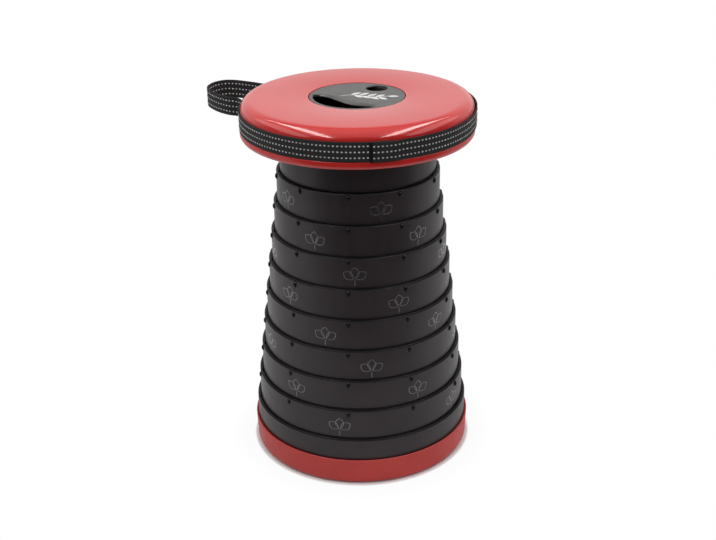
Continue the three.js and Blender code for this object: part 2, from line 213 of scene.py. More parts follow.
# A solid between two outlines of as many points, the first one lower
def lofted(name, lower, bottom, upper, top):
    build = bmesh.new()
    addSkin(build, [
        [build.verts.new((x * mm, y * mm, height * mm)) for x, y in outline]
        for outline, height in ((lower, bottom), (upper, top))
    ])
    return fromMesh(name, build)


def shaped(piece, tool, operation):
    change = piece.modifiers.new("shape", "BOOLEAN")
    change.operation = operation
    change.solver = "MANIFOLD"
    change.object = tool
    graph = bpy.context.evaluated_depsgraph_get()
    made = bpy.data.meshes.new_from_object(piece.evaluated_get(graph))
    piece.modifiers.clear()
    old = piece.data
    piece.data = made
    made.name = piece.name
    bpy.data.meshes.remove(old)
    bpy.data.objects.remove(tool)


def addAll(piece, *tools):
    for tool in tools:
        shaped(piece, tool, "UNION")


def cutAll(piece, *tools):
    for tool in tools:
        shaped(piece, tool, "DIFFERENCE")


# Smooth faces with crisp corners, the finish, and the body that carries the piece
def finished(piece, finish, body, nodes=(), crisp=32):
    piece.data.shade_smooth()
    piece.data.set_sharp_from_angle(angle=radians(crisp))
    piece.data.materials.clear()
    piece.data.materials.append(finishes[finish])
    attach(piece, body)
    if nodes:
        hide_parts(*nodes)


# Finishes
noiseSpan = (0.3, 0.7)  # where most of a noise's values lie
plainLook = dict(drawn=(1, 1, 1), drawnScale=90.0, grainScale=900.0, grainDepth=0.0002, ior=1.5)
looks = dict(
    seatRed=dict(
        dark=(0.55, 0.020, 0.018), light=(0.59, 0.024, 0.021), mottle=14.0, drawnScale=30.0,
        roughness=(0.11, 0.15), grainScale=260.0, grain=0.03,
    ),
    baseRed=dict(
        dark=(0.47, 0.042, 0.037), light=(0.54, 0.052, 0.045), mottle=22.0, drawn=(1, 1, 0.3),
        drawnScale=60.0, roughness=(0.34, 0.44), specular=0.35, grainScale=1300.0, grain=0.16,
        ior=1.46,
    ),
    ringBlack=dict(
        dark=(0.0198, 0.0132, 0.0150), light=(0.0266, 0.0182, 0.0206), mottle=26.0, drawn=(6, 6, 0.5),
        drawnScale=22.0, roughness=(0.28, 0.36), specular=0.42, grainScale=1500.0, grain=0.12,
    ),
    # Painted shade: the pegs are moulded in the ring's plastic, but coloured far blacker
    pegPaintedShade=dict(
        dark=(0.0028, 0.0026, 0.0027), light=(0.004, 0.004, 0.004), mottle=60.0,
        roughness=(0.18, 0.24), specular=0.18, grain=0.05,
    ),
    panelGrey=dict(
        dark=(0.0465, 0.043, 0.039), light=(0.058, 0.0545, 0.050), mottle=60.0, drawnScale=120.0,
        roughness=(0.36, 0.46), grainScale=1100.0, grain=0.3,
    ),
    ringPrint=dict(  # like foil: faint in front and brighter where it is seen at a slant
        dark=(0.092, 0.088, 0.090), light=(0.134, 0.128, 0.131), mottle=90.0, metallic=0.85,
        roughness=(0.14, 0.22), grain=0.1, ior=1.55, coat=1.0, coatRoughness=0.12,
    ),
    panelPrint=dict(
        dark=(0.56, 0.56, 0.55), light=(0.68, 0.68, 0.67), mottle=120.0, roughness=(0.42, 0.52),
        grain=0.12, ior=1.45,
    ),
    footRubber=dict(
        dark=(0.012, 0.012, 0.012), light=(0.022, 0.021, 0.021), mottle=80.0, drawnScale=70.0,
        roughness=(0.72, 0.86), grainScale=800.0, grain=0.35, ior=1.45,
    ),
    stitchGrey=dict(
        dark=(0.34, 0.34, 0.333), light=(0.56, 0.56, 0.548), mottle=420.0, drawnScale=300.0,
        roughness=(0.45, 0.6), specular=0.3, grainScale=2600.0, grain=0.4,
    ),
)
# Painted shade of the gap between the rings: the rim's top takes the pegs' black, less glossy
looks["rimBlack"] = looks["pegPaintedShade"] | dict(roughness=(0.34, 0.44), specular=0.08)
# Partly painted shadow: the melted end is blacker than the webbing round it
looks["meltAndPaintedShadow"] = looks["pegPaintedShade"] | dict(roughness=(0.5, 0.6), specular=0.1, grain=0.3)
steelLook = dict(
    dark=(0.46, 0.46, 0.45), light=(0.62, 0.62, 0.62), mottle=240.0, roughness=(0.26, 0.42),
    metallic=1.0,
)
webbingLook = dict(
    dark=(0.003, 0.003, 0.003), light=(0.017, 0.0155, 0.0155), ramp=(0.3, 1.0), warp=1.3, weft=1.3,
    slant=38, ribs=0.7, fuzz=900.0, grain=0.55, grainDepth=0.0004, evenRoughness=0.82, specular=0.2,
    sheen=0.03,
)
# The shader's sockets that take a look's plain numbers
socketNames = dict(
    evenRoughness="Roughness", metallic="Metallic", ior="IOR", specular="Specular IOR Level",
    coat="Coat Weight", coatRoughness="Coat Roughness", sheen="Sheen Weight",
)


def startMaterial(name):
    material = bpy.data.materials.new(name)
    material.use_nodes = True
    return material, material.node_tree


# Sets a socket's plain value, or links another node's output to it
def feed(tree, socket, value):
    if isinstance(value, bpy.types.NodeSocket):
        tree.links.new(value, socket)
    else:
        socket.default_value = value


# A node with its settings and inputs by name, and its first inputs in order
def addNode(tree, kind, *values, **settings):
    node = tree.nodes.new(kind)
    for key, value in settings.items():
        if key in node.inputs:
            feed(tree, node.inputs[key], value)
        else:
            setattr(node, key, value)
    for socket, value in zip(node.inputs, values):
        feed(tree, socket, value)
    return node


def mathFrom(tree, operation, *values, kind="ShaderNodeMath"):
    return addNode(tree, kind, *values, operation=operation).outputs["Value"]


# Noise in the piece's own space, stretched by a mapping
def noiseIn(tree, scale, stretch=(1, 1, 1), detail=3.0):
    place = addNode(tree, "ShaderNodeTexCoord").outputs["Object"]
    mapped = addNode(tree, "ShaderNodeMapping", place, Scale=stretch).outputs["Vector"]
    return addNode(tree, "ShaderNodeTexNoise", mapped, Scale=scale, Detail=detail).outputs["Fac"]


def rampFrom(tree, source, look, start=0.35, end=0.65):
    ramp = addNode(tree, "ShaderNodeValToRGB", source)
    for element, place, tone in zip(ramp.color_ramp.elements, (start, end), ("dark", "light")):
        element.position = place
        element.color = (*look[tone], 1)
    return ramp.outputs["Color"]


def rangeFrom(tree, source, start, end, low, high, kind="SMOOTHSTEP"):
    return addNode(tree, "ShaderNodeMapRange", source, start, end, low, high,
                   interpolation_type=kind).outputs["Result"]


def roughFrom(tree, source, look):
    return rangeFrom(tree, source, *noiseSpan, *look["roughness"], "LINEAR")


def bumpFrom(tree, source, look):
    depths = dict(Strength=look["grain"], Distance=look["grainDepth"])
    return addNode(tree, "ShaderNodeBump", Height=source, **depths).outputs["Normal"]


# Feeds the shader: the sockets given here, and the look's plain numbers
def fillShader(tree, look, feeds):
    plain = {socket: look[key] for key, socket in socketNames.items() if key in look}
    shader = tree.nodes["Principled BSDF"]
    for socket, value in (feeds | plain).items():
        feed(tree, shader.inputs[socket], value)
    return shader


def toSurface(tree, output):
    feed(tree, tree.nodes["Material Output"].inputs["Surface"], output)


# Moulded plastic: mottled colour, drawn or even roughness, fine grain
def mouldedPlastic(name, look):
    material, tree = startMaterial(name)
    tone = noiseIn(tree, look["mottle"], detail=4.0)
    fillShader(tree, look, {
        "Base Color": rampFrom(tree, tone, look),
        "Roughness": roughFrom(tree, noiseIn(tree, look["drawnScale"], look["drawn"]), look),
        "Normal": bumpFrom(tree, noiseIn(tree, look["grainScale"], detail=2.0), look),
    })
    return material


# Zinc plated screws: blotched colour and shine
def screwSteel(look):
    material, tree = startMaterial("screwSteel")
    tone = noiseIn(tree, look["mottle"])
    fillShader(tree, look, {
        "Base Color": rampFrom(tree, tone, look),
        "Roughness": roughFrom(tree, tone, look),
    })
    return material


# Black webbing: a fuzzy twill that slants across the strap
def wovenWebbing(look):
    material, tree = startMaterial("strapWebbing")
    run = addNode(tree, "ShaderNodeTexCoord").outputs["UV"]
    twill = addNode(tree, "ShaderNodeMapping", run, Rotation=(0, 0, radians(look["slant"])),
                    Scale=(1 / look["warp"], 1 / look["weft"], 1)).outputs["Vector"]
    ribs = addNode(tree, "ShaderNodeTexWave", twill, bands_direction="X", Scale=0.5, Distortion=0.6,
                   Detail=1.0).outputs["Fac"]
    thread = mathFrom(tree, "MULTIPLY_ADD", ribs, look["ribs"], noiseIn(tree, look["fuzz"]))
    fillShader(tree, look, {
        "Base Color": rampFrom(tree, thread, look, *look["ramp"]),
        "Normal": bumpFrom(tree, thread, look),
    })
    return material


finishes = {name: mouldedPlastic(name, plainLook | look) for name, look in looks.items()}
finishes["steel"] = screwSteel(steelLook)
finishes["webbing"] = wovenWebbing(webbingLook)
print("finishes made")

# Rings
ring = dict(
    count=9, rim=61.2, pitch=37.85, radius=134.2, step=4.45, length=52.7, wall=1.8, space=2.65,
    lipHeight=4.0, lipGap=0.4, bandHeight=10.55, bandGap=0.35, rimRound=2.6, lipRound=0.9,
    footRound=0.4, stopGap=0.3, paintedShadeDepth=1.6,
)
peg = dict(
    count=10, phase=-97.2, width=5.0, height=7.6, drop=1.9, gap=0.4, sink=0.8, notchGap=0.6,
    notchFloor=0.3,
)
ledge = dict(count=5, phase=-86, width=9.0, height=4.0)
moulding = dict(edge=0.4, root=0.8, gap=0.3)  # roundings and gap that several parts share
domeLevels = (0.0, 0.38, 0.7, 0.92)  # shares of a dome's height with points round them
pegAngles = evenAngles(peg["count"], peg["phase"])
ledgeAngles = evenAngles(ledge["count"], ledge["phase"])


def rimHeight(number):
    return ring["rim"] + ring["pitch"] * (ring["count"] + 1 - number)


def ringRadius(number):
    return ring["radius"] - ring["step"] * (ring["count"] + 1 - number)


# A low dome that lies on a surface: its foot is an oval, set a little into what carries it
def addDome(build, place, axes, length, width, height, sink, around):
    out, up, along = axes
    levels = []
    for share in domeLevels:
        spread = sqrt(1 - share * share)
        level = []
        for k in range(around):
            turn = 2 * pi * k / around
            offset = along * (cos(turn) * spread * length / 2)
            offset += up * (sin(turn) * spread * width / 2)
            level.append(build.verts.new((place + offset + out * (height * share)) * mm))
        levels.append(level)
    foot = [build.verts.new(vert.co - out * sink * mm) for vert in levels[0]]
    build.faces.new(foot[::-1])
    top = build.verts.new((place + out * height) * mm)
    for k in range(around):
        build.faces.new((levels[-1][k], levels[-1][(k + 1) % around], top))
    addWalls(build, [foot] + levels)


# The pegs just under a rim: smooth domes, painted blacker than the ring plastic they are moulded in, as
# painted shade
def ringPegs(number):
    radius = ringRadius(number)
    middle = rimHeight(number) - peg["drop"] - peg["height"] / 2
    size = (peg["width"], peg["height"], ring["space"] - peg["gap"], peg["sink"], facets["peg"])
    build = bmesh.new()
    for x, y in evenCentres(1, peg["count"], peg["phase"]):
        out, along, up = Vector((x, y, 0)), Vector((-y, x, 0)), Vector((0, 0, 1))
        addDome(build, out * radius + up * middle, (out, up, along), *size)
    finished(fromMesh(f"ringPegs{number}", build), "pegPaintedShade", f"section_{number}", crisp=60)


# The gaps in a lip that the next ring's pegs pass
def lipNotches(radius, rim):
    wall = radius - ring["wall"]
    return blocks("notches", pegAngles, wall - ring["space"] - past, wall - peg["notchFloor"],
                  peg["width"] + 2 * peg["notchGap"], rim - ring["lipHeight"] - past, rim + past)


# The ledges inside a ring that the next ring's band is turned on to
def ringLedges(radius, rim):
    top = rim - ring["lipHeight"] - ring["bandHeight"] - 2 * ring["stopGap"]
    inside = radius - ring["wall"] - ring["space"] + peg["notchFloor"] + ring["lipGap"]
    outside = radius - ring["wall"] / 2
    return blocks("ledges", ledgeAngles, inside, outside, ledge["width"], top - ledge["height"], top)


def bandNotches(radius, foot):
    return blocks("bandNotches", ledgeAngles, radius + peg["notchFloor"], radius + ring["space"] + past,
                  ledge["width"] + 2 * peg["notchGap"], foot - past, foot + ring["bandHeight"] + past)


# A ring's foot with its stop band, as corners of a profile
def footCorners(radius, foot):
    inside = radius - ring["wall"]
    band, top = radius + ring["space"] - ring["bandGap"], foot + ring["bandHeight"]
    places = ((inside, foot), (band, foot), (band, top), (radius, top))
    return [(x, y, ring["footRound"]) for x, y in places]


# A ring's rim with the lip that turns inward
def rimCorners(radius, rim):
    inside = radius - ring["wall"]
    lip, under = inside - ring["space"] + ring["lipGap"], rim - ring["lipHeight"]
    return [
        (radius, rim, ring["rimRound"]),
        (lip, rim, ring["lipRound"]),
        (lip, under, ring["footRound"]),
        (inside, under, ring["footRound"]),
    ]


# The rim is smooth and painted blacker than the drawn wall, as painted shade of the gap between the rings
def paintRimShade(piece, rim):
    piece.data.materials.append(finishes["rimBlack"])
    for face in piece.data.polygons:
        if face.center.z > (rim - ring["paintedShadeDepth"]) * mm:
            face.material_index = 1


def movingRing(number):
    radius, rim = ringRadius(number), rimHeight(number)
    foot = rim - ring["length"]
    profile = rounded(footCorners(radius, foot) + rimCorners(radius, rim), steps=8, limit=0.64)
    piece = turned(f"ringSection{number}", profile, facets["ring"])
    cutAll(piece, lipNotches(radius, rim), bandNotches(radius, foot))
    addAll(piece, ringLedges(radius, rim))
    finished(piece, "ringBlack", f"section_{number}", [f"ring_{number}"])
    paintRimShade(piece, rim)
    ringPegs(number)


for number in range(ring["count"], 0, -1):
    movingRing(number)
print("rings made")

# Screws
screw = dict(
    head=3.4, headHeight=1.4, headRound=1.0, shank=1.5, length=7.0, pitch=1.0, bite=0.22,
    crossLength=3.6, crossWidth=0.8, recess=0.8,
)


# Pan screws that point up, one at each centre, heads at the foot
def panScrews(name, body, node, centres, foot):
    top, edge = foot + screw["headHeight"], screw["headRound"]
    core = screw["shank"] - screw["bite"]
    profile = [(0, foot)]
    profile += arcPoints((screw["head"] - edge, foot + edge), edge, edge, -90, 0, 4)
    profile += [(screw["head"], top), (screw["shank"], top)]
    height = top + screw["pitch"] / 2
    while height < top + screw["length"] - screw["pitch"]:
        profile += [(core, height), (screw["shank"], height + screw["pitch"] / 2)]
        height += screw["pitch"]
    profile += [(core, height), (0, top + screw["length"])]
    size = Matrix.Diagonal((screw["crossLength"] * mm, screw["crossWidth"] * mm, 2 * screw["recess"] * mm, 1))
    for i, (x, y) in enumerate(centres):
        piece = posts(f"{name}{i + 1}", profile, [(x, y)], facets["screw"])
        cross = bmesh.new()
        place = Matrix.Translation((x * mm, y * mm, foot * mm))
        for turn in (0, 90):
            bmesh.ops.create_cube(cross, size=1, matrix=place @ turnAbout("Z", turn) @ size)
        cutAll(piece, fromMesh("crossRecess", cross))
        finished(piece, "steel", body, [f"{node}_{i + 1}"])


# Base
base = dict(
    floor=3.0, proud=1.5, sink=0.9, cover=34.2, wallTop=2.65, wallFoot=1.45, fit=0.3, footInset=2.0,
    footRise=3.5, soleRound=1.5, heelRound=4.0, edgeRound=0.5, rimFall=1.4, rimRound=0.3,
    floorRound=0.6, flange=2.5, flangeWidth=62.0, screwCount=6, screwPhase=-54, screwInset=8.5,
    boss=4.1, bossCap=2.6, bore=1.9, tipGap=1.0, headGap=0.4,
)
pad = dict(count=6, phase=-84, radius=9.0, inset=12.0, taper=0.2, footRound=0.5, topRound=0.3)
padCentres = [(0, 0)] + evenCentres(ring["radius"] - pad["inset"], pad["count"], pad["phase"])
baseScrewCentres = evenCentres(
    ring["radius"] - base["flangeWidth"] + base["screwInset"], base["screwCount"], base["screwPhase"])


def bores(bottom, top, centres):
    return cylinders("bores", base["bore"], bottom, top, centres)


def bosses(bottom, top, centres):
    return cylinders("bosses", base["boss"], bottom, top, centres, facets["boss"])


def baseCover():
    foot, gap = base["proud"], moulding["gap"]
    floor = foot + base["floor"]
    inside = ring["radius"] + base["fit"]
    profile = rounded([
        (0, foot, 0),
        (inside + base["wallFoot"] - base["footInset"], foot, base["soleRound"]),
        (inside + base["wallFoot"], foot + base["footRise"], base["heelRound"]),
        (inside + base["wallTop"], base["cover"], base["edgeRound"]),
        (inside, base["cover"] - base["rimFall"], base["rimRound"]),
        (inside, floor, base["floorRound"]),
        (0, floor, 0),
    ], steps=5)
    piece = turned("baseCoverShell", profile, facets["base"])
    pocketTop, sinkTop = foot + base["sink"] + gap, foot + screw["headHeight"] + gap
    cutAll(
        piece,
        cylinders("pockets", pad["radius"] + gap, foot - past, pocketTop, padCentres, facets["pad"]),
        cylinders("sinks", screw["head"] + base["headGap"], foot - past, sinkTop, baseScrewCentres),
        bores(foot, floor + past, baseScrewCentres),
    )
    finished(piece, "baseRed", "base", ["base_cover"])


def baseRing():
    radius, rim = ring["radius"], ring["rim"]
    bottom = base["proud"] + base["floor"] + base["fit"]
    flangeTop = bottom + base["flange"]
    hole = radius - base["flangeWidth"]
    edge = moulding["edge"]
    profile = rounded([
        (hole, bottom, edge),
        (radius, bottom, edge),
        *rimCorners(radius, rim),
        (radius - ring["wall"], flangeTop, moulding["root"]),
        (hole, flangeTop, edge),
    ], steps=8, limit=0.64)
    piece = turned("baseRingShell", profile, facets["base"])
    tip = base["proud"] + screw["headHeight"] + screw["length"] + base["tipGap"]
    bossTop = tip + base["bossCap"]
    cutAll(piece, lipNotches(radius, rim))
    addAll(piece, bosses(flangeTop - past, bossTop, baseScrewCentres), ringLedges(radius, rim))
    cutAll(piece, bores(bottom - past, tip, baseScrewCentres))
    finished(piece, "ringBlack", "base", ["base_ring"])
    paintRimShade(piece, rim)


def footPads():
    radius, top = pad["radius"], base["proud"] + base["sink"]
    profile = rounded([
        (0, 0, 0), (radius - pad["taper"], 0, pad["footRound"]), (radius, top, pad["topRound"]), (0, top, 0),
    ])
    for i, centre in enumerate(padCentres):
        node = f"foot_pad_{i}" if i else "foot_pad_centre"
        piece = posts(f"rubberPad{i}", profile, [centre], facets["pad"])
        finished(piece, "footRubber", "base", [node])


baseCover()
baseRing()
footPads()
panScrews("baseScrew", "base", "base_screw", baseScrewCentres, base["proud"])
print("base made")

# Seat: the cover, the web under it, the flange of the fixed top section, and the screws
seat = dict(
    top=450.0, skin=2.7, radius=138.0, skirt=2.7, shoulderWidth=14.0, shoulderHeight=11.9,
    bottom=405.6, ledge=414.5, lipProud=1.4, lipFoot=1.9, lipRise=3.4, lipRound=2.6, innerRound=0.5,
    soleRound=0.9, ledgeRound=0.8, straight=6.0, hole=57.45, edgeRound=0.4,
)
web = dict(
    top=443.0, plate=2.5, collarTop=447.0, radius=124.0, wall=2.5, footRound=0.6, hole=52.5,
    panelEdge=57.1, ribHeight=10.4, ribWidth=2.4, ribCount=10, ribPhase=-86, ribRound=0.3,
)
flange = dict(top=440.2, thick=2.2, radius=75.7)
seatScrews = dict(
    ringCount=5, ringRadius=83.7, ringPhase=-98, coverCount=5, coverRadius=104.0, coverPhase=-80,
)
topRadius = ringRadius(0)
webBottom, flangeBottom = web["top"] - web["plate"], flange["top"] - flange["thick"]
ringScrewCentres = evenCentres(seatScrews["ringRadius"], seatScrews["ringCount"], seatScrews["ringPhase"])
seatScrewCentres = evenCentres(seatScrews["coverRadius"], seatScrews["coverCount"], seatScrews["coverPhase"])
ringScrewFoot = flangeBottom - screw["headHeight"] - moulding["gap"]
seatScrewFoot = webBottom - screw["headHeight"] - moulding["gap"]
screwReach = screw["headHeight"] + screw["length"] + base["tipGap"]


def seatCover():
    top, radius = seat["top"], seat["radius"]
    bottom, shelf, straight = seat["bottom"], seat["ledge"], seat["straight"]
    under = top - seat["skin"]
    across, along = seat["shoulderWidth"], seat["shoulderHeight"]
    middle = (radius - across, top - along)
    inner, lip = radius - seat["skirt"], radius + seat["lipProud"]
    profile = [(seat["hole"], under)]
    profile += arcPoints(middle, across - seat["skirt"], along - seat["skin"], 90, 0, 8)
    profile += rounded([
        (inner, bottom + straight, 0),
        (inner, bottom, seat["innerRound"]),
        (inner + seat["lipFoot"], bottom, seat["soleRound"]),
        (lip, bottom + seat["lipRise"], seat["lipRound"]),
        (lip, shelf, seat["ledgeRound"]),
        (radius, shelf, moulding["edge"]),
        (radius, shelf + straight, 0),
    ], steps=6)[:-1]
    profile += arcPoints(middle, across, along, 0, 90, 16)
    edge = seat["edgeRound"]
    profile += arcPoints((seat["hole"] + edge, top - edge), edge, edge, 90, 180, 5)
    piece = turned("seatCoverShell", profile, facets["seat"])
    bossFoot, boreTop = web["top"] + moulding["gap"], seatScrewFoot + screwReach
    addAll(piece, bosses(bossFoot, under + past, seatScrewCentres))
    cutAll(piece, bores(web["top"], boreTop, seatScrewCentres))
    finished(piece, "seatRed", "seat", ["seat_cover"])


def seatFrame():
    outer, inner = web["radius"], web["radius"] - web["wall"]
    edge, root = moulding["edge"], moulding["root"]
    profile = rounded([
        (web["hole"], webBottom, edge),
        (outer, webBottom, web["footRound"]),
        (outer, web["collarTop"], edge),
        (inner, web["collarTop"], edge),
        (inner, web["top"], root),
        (web["panelEdge"], web["top"], root),
        (web["panelEdge"], web["collarTop"], edge),
        (web["hole"], web["collarTop"], edge),
    ])
    piece = turned("seatFrameWeb", profile, facets["ring"])
    foot, boreTop = webBottom - past, ringScrewFoot + screwReach
    addAll(
        piece,
        blocks("ribs", evenAngles(web["ribCount"], web["ribPhase"]), topRadius + ring["space"], inner,
               web["ribWidth"], webBottom - web["ribHeight"], webBottom + past, web["ribRound"]),
        bosses(web["top"] - past, web["collarTop"], ringScrewCentres),
    )
    cutAll(piece, bores(foot, boreTop, ringScrewCentres), bores(foot, web["top"] + past, seatScrewCentres))
    finished(piece, "ringBlack", "seat", ["seat_frame"])


def topSection():
    foot = rimHeight(0) - ring["length"]
    edge = moulding["edge"]
    profile = rounded(footCorners(topRadius, foot) + [
        (topRadius, flange["top"], edge),
        (flange["radius"], flange["top"], edge),
        (flange["radius"], flangeBottom, edge),
        (topRadius - ring["wall"], flangeBottom, moulding["root"]),
    ])
    piece = turned("topSection", profile, facets["ring"])
    cutAll(piece, bandNotches(topRadius, foot))
    cutAll(piece, bores(flangeBottom - past, flange["top"] + past, ringScrewCentres))
    finished(piece, "ringBlack", "seat", ["top_ring"])


seatCover()
seatFrame()
topSection()
panScrews("ringScrew", "seat", "ring_screw", ringScrewCentres, ringScrewFoot)
panScrews("seatScrew", "seat", "seat_screw", seatScrewCentres, seatScrewFoot)
print("seat made")

# Centre panel
panel = dict(
    radius=56.5, top=449.7, bottom=447.3, edgeRound=0.5, footRound=0.3, thumbRadius=12.9,
    thumbReach=40.4, thumbTurn=53.9, slotTurn=-123.5, slotRadius=52.0, slotHalf=64.0, scoopWidth=10.0,
    scoopDepth=1.5, scoopSteps=9, scoopCurve=1.6, scoopMiddle=0.05, scoopHalf=0.95, lead=0.5,
    flare=1.3, hooks=(-95, -35, 35, 95), hookWidth=9.0, hookThick=1.6, hookCatch=1.2, hookGap=0.5,
)
# The finger slot's inner edge: place along it, from -1 to 1, and how far out from the panel's middle
slotEdge = (
    (-1, 22.8), (-0.94, 19.4), (-0.85, 17.9), (-0.7, 17.6), (-0.52, 19.2), (-0.31, 22.6), (-0.1, 26.4),
    (0.06, 28.8), (0.2, 30.0), (0.32, 30.1), (0.45, 29.0), (0.6, 27.0), (0.78, 24.7), (1, 22.8),
)


# The finger slot: an arc by the panel's edge, and an inner edge that can be set back in its middle
def crescent(setBack, grow=0.0, steps=40):
    radius, half = panel["slotRadius"], panel["slotHalf"]
    chord = radius * sin(radians(half))
    points = arcPoints((0, 0), radius + grow, radius + grow, -half, half, steps)
    knots = [Vector((share, reach)) for share, reach in slotEdge]
    for (share, reach), _ in lineThrough(knots, steps=6)[-2:0:-1]:
        scoop = max(1 - ((share - panel["scoopMiddle"]) / panel["scoopHalf"]) ** 2, 0)
        points.append((reach - setBack * scoop - grow * (1 - share * share), chord * share))
    turn = radians(panel["slotTurn"])
    right, ahead = cos(turn), sin(turn)
    return [(x * right - y * ahead, x * ahead + y * right) for x, y in points]


# Edges of the flat top stay crisp, so that it is lit evenly
def crispTop(piece):
    level = 0.9999  # the upward share of a normal that counts as flat
    build = bmesh.new()
    build.from_mesh(piece.data)
    for edge in build.edges:
        flat = [face.normal.z > level for face in edge.link_faces]
        if any(flat) and not all(flat):
            edge.smooth = False
    build.to_mesh(piece.data)
    build.free()


def centrePanel():
    top, bottom, radius = panel["top"], panel["bottom"], panel["radius"]
    profile = rounded([
        (0, bottom, 0), (radius, bottom, panel["footRound"]), (radius, top, panel["edgeRound"]), (0, top, 0),
    ], steps=5)
    piece = turned("centrePanelPlate", profile, facets["base"])
    stem, thick, width = web["hole"] - panel["hookGap"], panel["hookThick"], panel["hookWidth"]
    catchTop = webBottom - moulding["gap"]
    angles = [panel["thumbTurn"] + turn for turn in panel["hooks"]]
    addAll(
        piece,
        blocks("stems", angles, stem - thick, stem, width, catchTop - thick, bottom + past),
        blocks("catches", angles, stem - thick / 2, stem + panel["hookCatch"], width, catchTop - thick,
               catchTop),
    )
    slot = lofted("slot", crescent(0), bottom - past, crescent(0), top + past)
    scoops = []
    for k in range(panel["scoopSteps"]):  # each step lies under a curve that steepens towards the slot
        shares = [step / panel["scoopSteps"] for step in (k, k + 1)]
        low, high = [top - panel["scoopDepth"] * (1 - share) ** panel["scoopCurve"] for share in shares]
        near, far = [crescent(panel["scoopWidth"] * share) for share in shares]
        scoops.append(lofted("scoop", near, low, far, high))
    lead = lofted("lead", crescent(0), top - panel["lead"], crescent(0, panel["lead"]), top + hair)
    hole, edge = panel["thumbRadius"], panel["flare"]
    flare = [(0, bottom - past), (hole, bottom - past), (hole, top - edge)]
    flare += arcPoints((hole + edge, top - edge), edge, edge, 180, 90, 7)[1:]
    flare += [(hole + edge, top + past), (0, top + past)]
    thumb = posts("thumb", flare, [onCircle(panel["thumbReach"], panel["thumbTurn"])], facets["thumb"])
    cutAll(piece, slot, *scoops, lead, thumb)
    finished(piece, "panelGrey", "seat", ["centre_panel"])
    crispTop(piece)


centrePanel()
print("panel made")

# Strap
strap = dict(
    width=23.1, thickness=1.3, height=426.3, radius=138.95, loopStart=172.0, loopSpan=48.0, reach=71.0,
    rise=1.7, slackStart=-22.0, slackSpan=108.0, slack=6.0, lapUnder=-74.0, lapEnd=-84.7,
    lapBlend=14.0, lapGap=0.05, sag=0.5, step=1.5, turnStep=0.75, channel=0.16, channelWidth=1.1,
    edgeInset=0.12, cornerInset=0.5, edgeThin=0.72, endThin=0.72,
)
stitch = dict(
    rows=(-6.6, 0, 6.6), pitch=4.7, length=2.5, width=1.9, height=0.55, sink=0.35, first=1.5, last=3.9,
    onLoop=(0.04, 0.96),
)
# The melted end: how far back from it, and the share of the full thickness there
meltProfile = ((-0.4, 0.3), (0.1, 0.8), (0.7, 1.0), (1.9, 1.0), (2.4, 0.5))
melt = dict(over=0.2, proud=0.25, corner=0.7, flank=0.6)
# Along the loop: how far round its span, and how far out of its reach
loopShares = (
    (0, 0), (0.088, 0.04), (0.156, 0.148), (0.169, 0.33), (0.223, 0.571), (0.304, 0.818), (0.367, 0.947),
    (0.440, 0.995), (0.506, 0.993), (0.571, 0.927), (0.615, 0.775), (0.64, 0.587), (0.665, 0.392),
    (0.683, 0.22), (0.725, 0.076), (0.785, 0.02), (0.896, 0.003), (1, 0),
)


# The loop's centre line with the share of the loop at each point
def loopLine():
    knots = []
    for around, out in loopShares:
        radius = strap["radius"] + strap["reach"] * out
        knots.append(Vector(onCircle(radius, strap["loopStart"] - strap["loopSpan"] * around)))
    return lineThrough(knots, steps=14)


# A run of the belt round the seat, which stands off a little at the right
def beltLine(angle, end, loopShare):
    line = []
    while angle > end:
        share = (angle - strap["slackStart"]) / strap["slackSpan"]
        slack = strap["slack"] * sin(pi * share) ** 2 if 0 < share < 1 else 0
        line.append((Vector(onCircle(strap["radius"] + slack, angle)), loopShare))
        angle -= strap["turnStep"]
    return line


# The strap's whole centre line: from the end below in front, round the left to the loop, and on round
# the back and the right to the end on top
def strapLine():
    loopEnd = strap["loopStart"] - strap["loopSpan"]
    first = beltLine(strap["lapUnder"], strap["loopStart"] - 360, 0.0)
    return first + loopLine() + beltLine(loopEnd - strap["turnStep"], strap["lapEnd"], 1.0)


# Evenly spaced stations, each a place and its share of the loop, and the whole length
def evenStations(line, step):
    found = [line[0]]
    walked, target = 0.0, step
    for (a, shareA), (b, shareB) in zip(line, line[1:]):
        length = (b - a).length
        while walked + length >= target:
            part = (target - walked) / length
            found.append((a.lerp(b, part), shareA + (shareB - shareA) * part))
            target += step
        walked += length
    return found, walked


def smoothStep(value, start, end):
    share = min(max((value - start) / (end - start), 0), 1)
    return share * share * (3 - 2 * share)


stations, strapLength = evenStations(strapLine(), strap["step"])
lapLength = radians(strap["lapUnder"] - strap["lapEnd"]) * strap["radius"]
print("strap length mm", round(strapLength, 1))


# Place, outward direction, upward direction and travel at a distance along the strap
def strapFrame(distance):
    last = len(stations) - 2
    i = min(int(distance / strap["step"]), last)
    part = distance / strap["step"] - i
    here, there = stations[i][0], stations[i + 1][0]
    before = stations[max(i - 1, 0)][0]
    after = stations[min(i + 2, last + 1)][0]
    travel = ((there - before).lerp(after - here, part)).normalized()
    out = Vector((-travel.y, travel.x, 0))
    place = here.lerp(there, part).to_3d()
    lap = smoothStep(distance, strapLength - lapLength - strap["lapBlend"], strapLength - lapLength)
    place += out * lap * (strap["thickness"] + strap["lapGap"])  # the end that lies on top
    lift = strap["rise"] * sin(pi * stations[i][1]) ** 2  # of the loop alone
    place.z += strap["height"] - strap["sag"] * lap + lift
    return place, out, Vector((0, 0, 1)), travel.to_3d()


# The webbing's cross-section: (out, up) points with shallow channels under the stitched rows
def webbingSection(steps=24):
    half, thick = strap["width"] / 2, strap["thickness"] / 2
    flat = half - strap["cornerInset"]
    face = []
    for k in range(steps + 1):
        up = -flat + 2 * flat * k / steps
        channel = sum(exp(-((up - row) / strap["channelWidth"]) ** 2) for row in stitch["rows"])
        face.append((thick - strap["channel"] * channel, up))
    flank, shoulder = thick * strap["edgeThin"], half - strap["edgeInset"]
    edge = [(flank, shoulder), (0, half), (-flank, shoulder)]
    back = [(-out, up) for out, up in reversed(face)]
    return face + edge + back + [(out, -up) for out, up in reversed(edge)]


